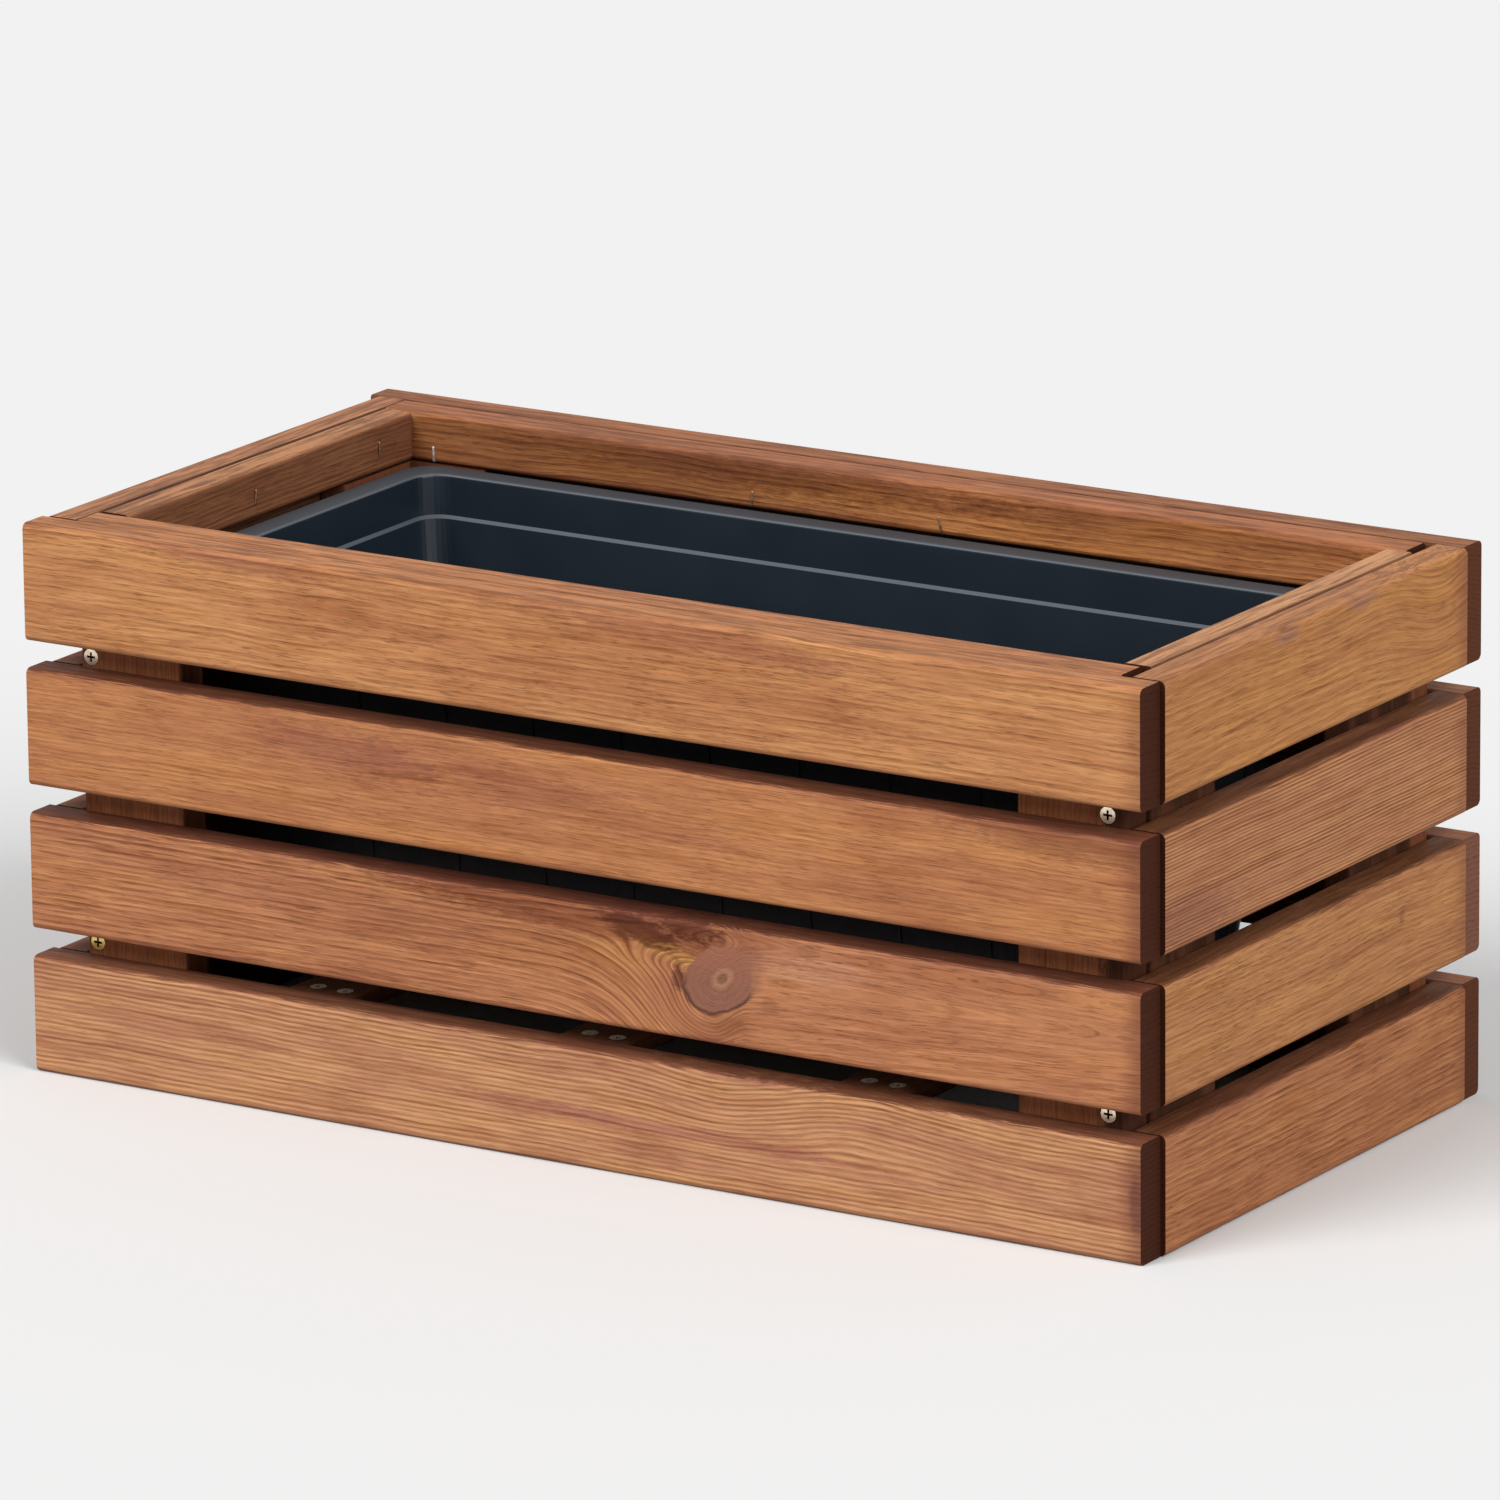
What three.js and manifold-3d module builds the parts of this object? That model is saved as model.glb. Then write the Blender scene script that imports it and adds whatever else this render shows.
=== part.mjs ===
// Slatted wooden window box with a lift-out plastic liner.
// Millimetres, +X along the length, the front at -Y, +Z up. The box stands on z = 0.
import * as THREE from 'three';
import { mergeVertices } from 'three/addons/utils/BufferGeometryUtils.js';
import Module from 'manifold-3d';

const wasm = await Module();
wasm.setup();

// Wall boards
const frontBoardLength = 600;
const backBoardOverrun = 2;
const boxDepth = 310;
const boardHeight = 56.5;
const boardThickness = 17.5;
const boardGap = 13;
const boardsPerWall = 4;
const outerEdgeRadius = 3;
const innerEdgeRadius = 1.5;

// End panels: the right one stands proud of the long boards' ends, the left one is set back
const rightPanelProud = 2.5;
const leftPanelSetback = 1;

// Top rails inside the highest boards
const railHeight = 24;
const longRailThickness = 19;
const endRailThickness = 15.5;
const railShortfall = 5;
const railEdgeRadius = 3;
const endRailGap = 0.6;

// Upright corner battens, screwed to each other
const battenWidth = 56.5;
const battenFoot = 3;
const battenEndClearance = 0.2;
const rightBattenClearance = 2.5;
const battenEdgeRadius = 2;

// Floor: ledgers along the long walls carry three slats
const ledgerFoot = 23.5;
const ledgerHeight = 24;
const slatWidth = 38;
const slatThickness = 8;
const slatPitch = 150;
const slatEndClearance = 1;
const slatCount = 3;

// Countersunk screws with a cross recess
const screwHeadRadius = 4;
const screwHeadHeight = 2.6;
const screwHeadLand = 0.4;
const screwShankRadius = 1.8;
const screwTipLength = 5;
const cornerScrewLength = 40;
const slatScrewLength = 25;
const slatScrewSpacing = 15;
const upperScrewDrop = 2;
const lowerScrewDrop = 1;
const leftScrewFromPanel = 6;
const rightScrewFromPanel = 12;
const recessLength = 4.6;
const recessWidth = 1.1;
const recessDepth = 1.6;
const screwSides = 12;
const screwSink = 0.1;

// Clearances
const fitGap = 0.2;
const screwGap = 0.3;

// Liner: gaps to the rails, rim, collar, tapered wall and flutes
const linerGapLeft = 4.6;
const linerGapRight = 19.1;
const linerGapFront = 10.3;
const linerGapBack = 0.7;
const rimBelowRail = 0;
const linerSeatGap = 0.3;
const linerWall = 2.6;
const rimOverhang = 12;
const rimLipHeight = 8;
const rimRoll = 2.2;
const rimInnerRoll = 1.5;
const rimCornerRadius = 16;
const collarHeight = 13;
const collarDraft = 1.5;
const collarStep = 1.5;
const bodyCornerRadius = 14;
const bodyDraftDegrees = 7;
const bottomRadius = 5;
const fluteWidth = 18;
const longFlutePitch = 48;
const longFluteCount = 9;
const shortFlutePitch = 50;
const shortFluteCount = 3;
const fluteDepth = 1.1;
const fluteEndRadius = 3;
const fluteBelowCollar = 4;
const fluteAboveBottom = 8.5;

// Smoothness of the modelled curves
const edgeSteps = 4;
const linerCornerSteps = 7;
const rollSteps = 4;
const fluteEndSteps = 2;
const mergeDistance = 1e-4;

// Places that several pieces share
const pitch = boardHeight + boardGap;
const boxHeight = boardsPerWall * boardHeight + (boardsPerWall - 1) * boardGap;
const railUnderside = boxHeight - railHeight;
const longRightEnd = frontBoardLength / 2;
const frontLeftEnd = longRightEnd - frontBoardLength;
const backLeftEnd = frontLeftEnd - backBoardOverrun;
const rightPanelFace = longRightEnd + rightPanelProud;
const leftPanelFace = frontLeftEnd + leftPanelSetback;
const leftPanelInside = leftPanelFace + boardThickness;
const rightPanelInside = rightPanelFace - boardThickness;
const longWallInside = boxDepth / 2 - boardThickness;
const longRailInside = longWallInside - fitGap - longRailThickness;
const leftRailInside = leftPanelInside + endRailGap + endRailThickness;
const rightRailInside = rightPanelInside - endRailGap - endRailThickness;
const slatTop = ledgerFoot + ledgerHeight + fitGap + slatThickness;
const linerBase = slatTop + linerSeatGap;
const linerLength = rightRailInside - leftRailInside - linerGapLeft - linerGapRight;
const linerWidth = 2 * longRailInside - linerGapFront - linerGapBack;
const linerHeight = railUnderside - rimBelowRail - linerBase;
const linerCentreX = leftRailInside + linerGapLeft + linerLength / 2;
const linerCentreY = -longRailInside + linerGapFront + linerWidth / 2;
const screwLevels = [
  { name: 'upper', z: boxHeight - boardHeight - boardGap / 2 - upperScrewDrop },
  { name: 'lower', z: boardHeight + boardGap / 2 - lowerScrewDrop },
];

const woodFace = { color: 0xb17d4d, roughness: 0.62, metalness: 0 };
const woodFrame = { color: 0xa87448, roughness: 0.66, metalness: 0 };
const woodFloor = { color: 0x8a5c39, roughness: 0.7, metalness: 0 };
const plastic = { color: 0x3d454e, roughness: 0.42, metalness: 0 };
const steel = { color: 0xc9c4b4, roughness: 0.35, metalness: 0.9 };
const brassed = { color: 0xcdb266, roughness: 0.35, metalness: 0.9 };

function addMesh(parent, name, geometry, finish) {
  const mesh = new THREE.Mesh(geometry, new THREE.MeshStandardMaterial(finish));
  mesh.name = name;
  parent.add(mesh);
  return mesh;
}

// Joins and cuts

function toSolid(geometry) {
  const bare = geometry.clone();
  bare.deleteAttribute('normal');
  bare.deleteAttribute('uv');
  const merged = mergeVertices(bare, mergeDistance);
  return new wasm.Manifold(new wasm.Mesh({
    numProp: 3,
    vertProperties: Float32Array.from(merged.attributes.position.array),
    triVerts: Uint32Array.from(merged.index.array),
  }));
}

function toGeometry(solid) {
  const mesh = solid.getMesh();
  const geometry = new THREE.BufferGeometry();
  geometry.setAttribute('position', new THREE.BufferAttribute(Float32Array.from(mesh.vertProperties), 3));
  geometry.setIndex(new THREE.BufferAttribute(Uint32Array.from(mesh.triVerts), 1));
  geometry.computeVertexNormals();
  return geometry;
}

function cut(geometry, cutters) {
  let solid = toSolid(geometry);
  for (const cutter of cutters) {
    solid = solid.subtract(toSolid(cutter));
  }
  return toGeometry(solid);
}

// Timber: a rectangle from the origin with its own radius on the near and the far pair of edges

function timberSection(width, depth, nearRadius, farRadius) {
  const section = new THREE.Shape();
  section.moveTo(nearRadius, 0);
  section.lineTo(width - farRadius, 0);
  section.absarc(width - farRadius, farRadius, farRadius, -Math.PI / 2, 0);
  section.lineTo(width, depth - farRadius);
  section.absarc(width - farRadius, depth - farRadius, farRadius, 0, Math.PI / 2);
  section.lineTo(nearRadius, depth);
  section.absarc(nearRadius, depth - nearRadius, nearRadius, Math.PI / 2, Math.PI);
  section.lineTo(0, nearRadius);
  section.absarc(nearRadius, nearRadius, nearRadius, Math.PI, 1.5 * Math.PI);
  return section;
}

function extrude(section, length) {
  return new THREE.ExtrudeGeometry(section, { depth: length, bevelEnabled: false, curveSegments: edgeSteps });
}

// A level bar along x: thickness goes into the box along y, height along z
function levelBar(length, thickness, height, nearRadius, farRadius) {
  const geometry = extrude(timberSection(thickness, height, nearRadius, farRadius), length);
  const alongX = new THREE.Matrix4().makeBasis(
    new THREE.Vector3(0, 1, 0),
    new THREE.Vector3(0, 0, 1),
    new THREE.Vector3(1, 0, 0),
  );
  return geometry.applyMatrix4(alongX);
}

// An upright bar: width along x, thickness along y
function uprightBar(width, thickness, height) {
  return extrude(timberSection(width, thickness, battenEdgeRadius, battenEdgeRadius), height);
}

// Screws: the head's flat top lies in z = 0 and the point is at z = -length

function screwProfile(length, gap) {
  const head = screwHeadRadius + gap;
  const shank = screwShankRadius + gap;
  const top = gap > 0 ? screwSink + gap : 0;
  return [
    new THREE.Vector2(0, -length - gap),
    new THREE.Vector2(shank, -length + screwTipLength - gap),
    new THREE.Vector2(shank, -screwHeadHeight - gap),
    new THREE.Vector2(head, -screwHeadLand - gap),
    new THREE.Vector2(head, top),
    new THREE.Vector2(0, top),
  ];
}

function turned(profile) {
  return new THREE.LatheGeometry(profile, screwSides).rotateX(Math.PI / 2);
}

function screwGeometry(length) {
  const bars = [recessLength, recessWidth].map((along) => {
    const across = along === recessLength ? recessWidth : recessLength;
    return new THREE.BoxGeometry(along, across, 2 * recessDepth);
  });
  return cut(turned(screwProfile(length, 0)), bars);
}

function screwHole(length) {
  return turned(screwProfile(length, screwGap));
}

// A screw or its hole that points into the box through a wall's face, in the wall's own frame
function pointInward(geometry, x, y, z) {
  return geometry.rotateX(Math.PI / 2).translate(x, y, z);
}

function pointDown(geometry, x, y, z) {
  return geometry.translate(x, y, z);
}

// Walls. In a wall's own frame x runs to the right as seen from outside, y = 0 is the outer
// face, +y goes into the box and z is up.

function addBoards(wall, name, from, to) {
  for (let k = 0; k < boardsPerWall; k += 1) {
    const geometry = levelBar(to - from, boardThickness, boardHeight, outerEdgeRadius, innerEdgeRadius);
    const board = addMesh(wall, `${name}_board_${k + 1}`, geometry, woodFace);
    board.position.set(from, 0, boxHeight - boardHeight - k * pitch);
  }
}

function addRail(wall, name, from, to, thickness, gap) {
  const geometry = levelBar(to - from, thickness, railHeight, innerEdgeRadius, railEdgeRadius);
  const rail = addMesh(wall, `${name}_top_rail`, geometry, woodFrame);
  rail.position.set(from, boardThickness + gap, railUnderside);
}

function battenHeight() {
  return railUnderside - fitGap - battenFoot;
}

// A batten of a long wall, with the countersunk holes of its corner screws
function addLongBatten(wall, name, from, screwX) {
  const holes = screwLevels.map((level) => pointInward(
    screwHole(cornerScrewLength),
    screwX - from,
    screwSink,
    level.z - battenFoot,
  ));
  const geometry = cut(uprightBar(battenWidth, longRailThickness, battenHeight()), holes);
  const batten = addMesh(wall, name, geometry, woodFrame);
  batten.position.set(from, boardThickness + fitGap, battenFoot);
}

// A batten of an end wall: the corner screws run into its low-x edge where `edgeSide` is -1,
// or into its high-x edge where it is 1, `depth` behind its outer face
function addEndBatten(wall, name, from, edgeSide, depth) {
  const along = cornerScrewLength - (longRailThickness + fitGap - screwSink);
  const holes = screwLevels.map((level) => {
    const hole = screwHole(cornerScrewLength).rotateY(edgeSide * Math.PI / 2);
    const headAt = edgeSide < 0 ? along - cornerScrewLength : battenWidth - along + cornerScrewLength;
    return hole.translate(headAt, depth, level.z - battenFoot);
  });
  const geometry = cut(uprightBar(battenWidth, endRailThickness, battenHeight()), holes);
  const batten = addMesh(wall, name, geometry, woodFrame);
  batten.position.set(from, boardThickness + fitGap, battenFoot);
}

function addCornerScrews(wall, wallName, sideName, x) {
  for (const level of screwLevels) {
    const finish = level.name === 'lower' && sideName === 'left' ? brassed : steel;
    const geometry = pointInward(screwGeometry(cornerScrewLength), 0, 0, 0);
    const screw = addMesh(wall, `${wallName}_${sideName}_screw_${level.name}`, geometry, finish);
    screw.position.set(x, boardThickness + fitGap + screwSink, level.z);
  }
}

function wallGroup(box, angle, x, y) {
  const wall = new THREE.Group();
  wall.rotation.z = angle;
  wall.position.set(x, y, 0);
  box.add(wall);
  return wall;
}

// The corner screws, as world x
const leftScrewX = leftPanelInside + leftScrewFromPanel;
const rightScrewX = rightPanelInside - rightScrewFromPanel;
const leftBattenStart = leftPanelInside + battenEndClearance;
const rightBattenEnd = rightPanelInside - rightBattenClearance;

// `mirror` is 1 for the front wall and -1 for the back wall, whose frame is turned half round
function addLongWall(box, name, mirror, boardLeftEnd) {
  const wall = wallGroup(box, mirror > 0 ? 0 : Math.PI, 0, -mirror * boxDepth / 2);
  const span = (a, b) => (mirror > 0 ? [a, b] : [-b, -a]);
  const boards = span(boardLeftEnd, longRightEnd);
  addBoards(wall, name, boards[0], boards[1]);
  const rail = span(leftPanelInside + fitGap, rightPanelInside - railShortfall);
  addRail(wall, name, rail[0], rail[1], longRailThickness, fitGap);
  const left = span(leftBattenStart, leftBattenStart + battenWidth);
  const right = span(rightBattenEnd - battenWidth, rightBattenEnd);
  addLongBatten(wall, `${name}_left_batten`, left[0], mirror * leftScrewX);
  addLongBatten(wall, `${name}_right_batten`, right[0], mirror * rightScrewX);
  addCornerScrews(wall, name, 'left', mirror * leftScrewX);
  addCornerScrews(wall, name, 'right', mirror * rightScrewX);
  addLedger(wall, name, mirror);
}

// `mirror` is 1 for the right wall and -1 for the left wall
function addEndWall(box, name, mirror) {
  const face = mirror > 0 ? rightPanelFace : leftPanelFace;
  const wall = wallGroup(box, mirror * Math.PI / 2, face, 0);
  const boardEnd = longWallInside - fitGap;
  addBoards(wall, name, -boardEnd, boardEnd);
  const railEnd = longRailInside - fitGap;
  addRail(wall, name, -railEnd, railEnd, endRailThickness, endRailGap);
  const firstName = mirror > 0 ? 'front' : 'back';
  const lastName = mirror > 0 ? 'back' : 'front';
  const depth = (mirror > 0 ? rightScrewFromPanel : leftScrewFromPanel) - fitGap;
  addEndBatten(wall, `${name}_${firstName}_batten`, -railEnd, -1, depth);
  addEndBatten(wall, `${name}_${lastName}_batten`, railEnd - battenWidth, 1, depth);
}

// Floor

const ledgerFrom = leftBattenStart + battenWidth + battenEndClearance;
const ledgerTo = rightBattenEnd - battenWidth - battenEndClearance;
const slatCentres = Array.from(
  { length: slatCount },
  (_, k) => (k - (slatCount - 1) / 2) * slatPitch,
);
const slatScrewY = longWallInside - fitGap - longRailThickness / 2;

function addLedger(wall, name, mirror) {
  const from = mirror > 0 ? ledgerFrom : -ledgerTo;
  const holes = [];
  for (const centre of slatCentres) {
    for (const side of [-1, 1]) {
      const x = mirror * (centre + side * slatScrewSpacing / 2) - from;
      const z = slatTop - screwSink - ledgerFoot;
      holes.push(pointDown(screwHole(slatScrewLength), x, longRailThickness / 2, z));
    }
  }
  const edge = innerEdgeRadius;
  const bar = levelBar(ledgerTo - ledgerFrom, longRailThickness, ledgerHeight, edge, edge);
  const ledger = addMesh(wall, `${name}_ledger`, cut(bar, holes), woodFloor);
  ledger.position.set(from, boardThickness + fitGap, ledgerFoot);
}

function addFloor(box) {
  const length = 2 * (longWallInside - slatEndClearance);
  slatCentres.forEach((centre, k) => {
    const section = timberSection(slatWidth, slatThickness, battenEdgeRadius, battenEdgeRadius);
    const holes = [];
    for (const end of [-1, 1]) {
      for (const side of [-1, 1]) {
        const x = slatWidth / 2 + side * slatScrewSpacing / 2;
        const y = length / 2 + end * slatScrewY;
        holes.push(pointDown(screwHole(slatScrewLength), x, y, slatThickness - screwSink));
        const screw = addMesh(
          box,
          `slat_${k + 1}_screw_${end < 0 ? 'front' : 'back'}_${side < 0 ? 'left' : 'right'}`,
          screwGeometry(slatScrewLength),
          steel,
        );
        screw.position.set(centre + side * slatScrewSpacing / 2, end * slatScrewY, slatTop - screwSink);
      }
    }
    const bar = extrude(section, length).rotateX(Math.PI / 2).translate(0, length, 0);
    const slat = addMesh(box, `floor_slat_${k + 1}`, cut(bar, holes), woodFloor);
    slat.position.set(centre - slatWidth / 2, -length / 2, slatTop - slatThickness);
  });
}

// Liner. Each ring of the loft is a rounded rectangle, drawn in by `inset` from the rim's edge.

const bodyTop = linerHeight - rimLipHeight - collarHeight;
const collarTopInset = rimOverhang;
const collarFootInset = collarTopInset + collarDraft;
const bodyTopInset = collarFootInset + collarStep;
const draft = Math.tan(THREE.MathUtils.degToRad(bodyDraftDegrees));

function wallInset(z) {
  return bodyTopInset + (bodyTop - z) * draft;
}

function arcPoints(inset, z, radius, from, to, corner) {
  const points = [];
  for (let k = 0; k <= rollSteps; k += 1) {
    const a = from + (to - from) * k / rollSteps;
    points.push({ inset: inset - radius * Math.cos(a), z: z + radius * Math.sin(a), corner });
  }
  return points;
}

// The section from the underside's edge, up the outside, over the rim and down the inside
function linerSection() {
  const rim = rimCornerRadius;
  const body = bodyCornerRadius;
  const collar = (rim + body) / 2;
  const inner = body - linerWall;
  const floorInset = wallInset(0);
  const quarter = Math.PI / 2;
  return [
    ...arcPoints(floorInset + bottomRadius, bottomRadius, bottomRadius, -quarter, 0, body),
    { inset: bodyTopInset, z: bodyTop, corner: body },
    { inset: collarFootInset, z: bodyTop + collarStep, corner: collar },
    { inset: collarTopInset, z: linerHeight - linerWall, corner: collar },
    { inset: linerWall, z: linerHeight - linerWall, corner: rim - linerWall },
    { inset: linerWall, z: linerHeight - rimLipHeight, corner: rim - linerWall },
    { inset: 0, z: linerHeight - rimLipHeight, corner: rim },
    ...arcPoints(rimRoll, linerHeight - rimRoll, rimRoll, 0, quarter, rim),
    ...arcPoints(
      collarTopInset + linerWall - rimInnerRoll,
      linerHeight - rimInnerRoll,
      rimInnerRoll,
      quarter,
      2 * quarter,
      collar - linerWall,
    ),
    { inset: collarFootInset + linerWall, z: bodyTop + collarStep, corner: collar - linerWall },
    { inset: bodyTopInset + linerWall, z: bodyTop, corner: inner },
    { inset: wallInset(bottomRadius) + linerWall, z: bottomRadius, corner: inner },
    { inset: floorInset + bottomRadius, z: linerWall, corner: inner },
  ];
}

function roundedRing(inset, z, corner) {
  const points = [];
  const halfLength = linerLength / 2 - inset;
  const halfWidth = linerWidth / 2 - inset;
  const signs = [[1, -1], [1, 1], [-1, 1], [-1, -1]];
  signs.forEach(([sx, sy], quadrant) => {
    const start = -Math.PI / 2 + quadrant * Math.PI / 2;
    for (let k = 0; k <= linerCornerSteps; k += 1) {
      const a = start + (Math.PI / 2) * k / linerCornerSteps;
      points.push([
        sx * (halfLength - corner) + corner * Math.cos(a),
        sy * (halfWidth - corner) + corner * Math.sin(a),
        z,
      ]);
    }
  });
  return points;
}

function linerShell() {
  const section = linerSection();
  const rings = section.map(({ inset, z, corner }) => roundedRing(inset, z, corner));
  const count = rings[0].length;
  const vertices = rings.flat();
  const underside = vertices.push([0, 0, section[0].z]) - 1;
  const floor = vertices.push([0, 0, section[section.length - 1].z]) - 1;
  const faces = [];
  const last = (rings.length - 1) * count;
  for (let i = 0; i < count; i += 1) {
    const next = (i + 1) % count;
    faces.push([underside, next, i], [floor, last + i, last + next]);
    for (let r = 0; r < rings.length - 1; r += 1) {
      const low = r * count;
      const high = low + count;
      faces.push([low + i, low + next, high + next], [low + i, high + next, high + i]);
    }
  }
  const geometry = new THREE.BufferGeometry();
  geometry.setAttribute('position', new THREE.Float32BufferAttribute(vertices.flat(), 3));
  geometry.setIndex(faces.flat());
  return geometry;
}

// A shallow upright flute, cut into the sloping wall that faces `angle`
function fluteCutter(along, halfSpan, angle) {
  const low = fluteAboveBottom;
  const high = bodyTop - fluteBelowCollar;
  const slope = Math.hypot(high - low, wallInset(low) - wallInset(high));
  const r = fluteEndRadius;
  const half = fluteWidth / 2;
  const outline = new THREE.Shape();
  outline.moveTo(-half + r, 0);
  outline.lineTo(half - r, 0);
  outline.absarc(half - r, r, r, -Math.PI / 2, 0);
  outline.lineTo(half, slope - r);
  outline.absarc(half - r, slope - r, r, 0, Math.PI / 2);
  outline.lineTo(-half + r, slope);
  outline.absarc(-half + r, slope - r, r, Math.PI / 2, Math.PI);
  outline.lineTo(-half, r);
  outline.absarc(-half + r, r, r, Math.PI, 1.5 * Math.PI);
  const geometry = new THREE.ExtrudeGeometry(outline, {
    depth: 2 * fluteDepth,
    bevelEnabled: false,
    curveSegments: fluteEndSteps,
  });
  const tilt = THREE.MathUtils.degToRad(bodyDraftDegrees);
  geometry.translate(along, 0, -fluteDepth);
  geometry.rotateX(Math.PI / 2 + tilt);
  geometry.translate(0, -(halfSpan - wallInset(low)), low);
  return geometry.rotateZ(angle);
}

function fluteCutters() {
  const cutters = [];
  const longWall = { pitch: longFlutePitch, count: longFluteCount, halfSpan: linerWidth / 2 };
  const shortWall = { pitch: shortFlutePitch, count: shortFluteCount, halfSpan: linerLength / 2 };
  [longWall, shortWall, longWall, shortWall].forEach((wall, quarter) => {
    for (let k = 0; k < wall.count; k += 1) {
      const along = (k - (wall.count - 1) / 2) * wall.pitch;
      cutters.push(fluteCutter(along, wall.halfSpan, quarter * Math.PI / 2));
    }
  });
  return cutters;
}

function addLiner(box) {
  const liner = addMesh(box, 'liner', cut(linerShell(), fluteCutters()), plastic);
  liner.position.set(linerCentreX, linerCentreY, linerBase);
}

// The origin is under the middle of the whole box
const box = new THREE.Group();
const farLeft = Math.min(frontLeftEnd, backLeftEnd, leftPanelFace);
const farRight = Math.max(longRightEnd, rightPanelFace);
box.position.x = -(farLeft + farRight) / 2;
addLongWall(box, 'front', 1, frontLeftEnd);
addLongWall(box, 'back', -1, backLeftEnd);
addEndWall(box, 'right', 1);
addEndWall(box, 'left', -1);
addFloor(box);
addLiner(box);

const group = new THREE.Group();
group.add(box);

export default group;
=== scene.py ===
"""Looks of the wooden window box: timber, plastic liner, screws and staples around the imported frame."""
import math

import bpy
from mathutils import Matrix, Vector


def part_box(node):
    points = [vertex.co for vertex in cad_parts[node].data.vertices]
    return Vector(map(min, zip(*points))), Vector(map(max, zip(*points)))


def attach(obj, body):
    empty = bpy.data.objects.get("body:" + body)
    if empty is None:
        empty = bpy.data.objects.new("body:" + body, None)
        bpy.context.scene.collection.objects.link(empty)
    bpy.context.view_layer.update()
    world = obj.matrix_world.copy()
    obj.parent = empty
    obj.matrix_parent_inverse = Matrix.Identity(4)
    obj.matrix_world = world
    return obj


# The photograph's camera, fitted to the box's corners: lengths in metres, the roll in radians and the
# other angles in degrees
CAMERA_AZIMUTH = 32.305
CAMERA_ELEVATION = 15.172
CAMERA_DISTANCE = 5.5912
CAMERA_ROLL = -0.01009
CAMERA_FOCAL_PIXELS = 12066.9
PHOTO_PIXELS = 1500
SENSOR_WIDTH = 36.0
AIM_RIGHT = -0.0002
AIM_HEIGHT = 0.1605
BOX_SHIFT = -0.00025

# Background and light. A sun is (azimuth, elevation, strength, softness), with its angles in degrees.
BACKGROUND = (0.887, 0.887, 0.887, 1.0)
FLOOR_SEEN = (0.716, 0.716, 0.716, 1.0)
FLOOR_BOUNCE = (0.4, 0.4, 0.4, 1.0)
FLOOR_HALF = 6.0
WORLD_STRENGTH = 0.4
SUN_DISTANCE = 4.0
KEY_SUN = (-22.0, 42.0, 2.09, 30.0)
FILL_SUN = (75.0, 35.0, 2.16, 40.0)

MM = 0.001

# The liner: a height between its floor and its step, and the rolled outer edge of its rim, which the painted
# light on the rim leaves out, in metres
LINER_FLOOR_TOP = 0.15
RIM_ROLL = 0.0012

# What keeps the noises of two boards apart, and cells per mm along and across the grain
SEED_SHIFT = 37.7
WANDER_SCALE = (0.006, 0.012)
RIPPLE_SCALE = (0.035, 0.05)
RING_DRIFT = 0.8

# Noises drawn out along the grain: cell length and width in mm, offset, detail and roughness
STREAKS = {
    "ring drift": (40.0, 5.0, 0.0, 2.0, 0.5),
    "ring breaks": (28.0, 2.0, 9.1, 2.0, 0.5),
    "fibre": (22.0, 0.8, 0.0, 3.0, 0.6),
    "pores": (10.0, 0.55, 4.3, 1.0, 0.5),
    "fleck": (14.0, 1.2, 6.6, 2.0, 0.5),
    "band": (70.0, 3.4, 5.5, 3.0, 0.5),
    "blotch": (30.0, 16.0, 7.7, 2.0, 0.5),
    "cloud": (90.0, 14.0, 2.2, 3.0, 0.55),
}

# Tints that multiply the wood's colour: a noise, where it starts and is full, the amount and the tint
TINTS = (
    ("cloud", 0.5, 0.34, 0.4, (1.0, 0.98, 0.8, 1.0)),
    ("band", 0.48, 0.7, 1.0, (0.86, 0.79, 0.75, 1.0)),
    ("band", 0.52, 0.32, 1.0, (1.06, 1.08, 1.09, 1.0)),
    ("fleck", 0.5, 0.68, 1.0, (0.93, 0.92, 0.91, 1.0)),
    ("blotch", 0.48, 0.66, 1.0, (0.96, 0.94, 0.93, 1.0)),
)

# Shares of a board's tones in red, green and blue
EARLY_WOOD = (1.13, 1.16, 1.2)
LATE_WOOD = (0.66, 0.55, 0.47)
PORE_WOOD = (0.5, 0.42, 0.38)
TOP_PALE = (1.15, 1.15, 1.15)
TOP_DEEP = (0.68, 0.68, 0.68)
END_PALE = (1.2, 1.2, 1.2)
END_DEEP = (0.65, 0.65, 0.65)

# Colours that all boards share, and how far marks reach in from an edge or an end, in mm
# Painted shade on the faces inside the box
INSIDE_PAINTED_SHADE = (0.2, 0.18, 0.16, 1.0)
# A tone for stained edges and ends, which on the upper arris is also painted shade under the board above
STAIN_AND_SHADE_TONE = (112, 62, 48)
# Painted shade in the groove of a joint
SEAM_PAINTED_SHADE = (72, 38, 24)
ROUGH_EDGE = 8.0
ROUGH_CREST = 9.0
EDGE_REACH = 4.0
EDGE_AMOUNT = 0.3
CREST_REACH = (5.0, -1.0)
END_REACH = 14.0
SEAM_DEPTH = (1.5, 0.6)
SEAM_DROP = (3.0, 1.5)
TOP_RAGGED = 1.5

# The surface of the wood: gloss, how deep its marks are and the bump, with its distance in metres
TIMBER_SPECULAR = 0.12
TIMBER_ROUGHNESS = 0.52
FIBRE_ROUGHNESS = 0.16
END_ROUGHNESS = 0.2
RING_RELIEF = -0.5
FIBRE_RELIEF = -0.6
PORE_RELIEF = -0.8
TIMBER_BUMP = (0.6, 0.0003)
LINER_BUMP = (0.25, 0.0001)
METAL_BUMP = (0.15, 0.0001)

# Spots: noise cells per mm along and across, how ragged they are, and where they start and are full
SPOT_SCALE = (0.16, 0.5)
SPOT_RAGGED = 1.6
SPOT_EDGE = (1.3, 0.5)

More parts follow.
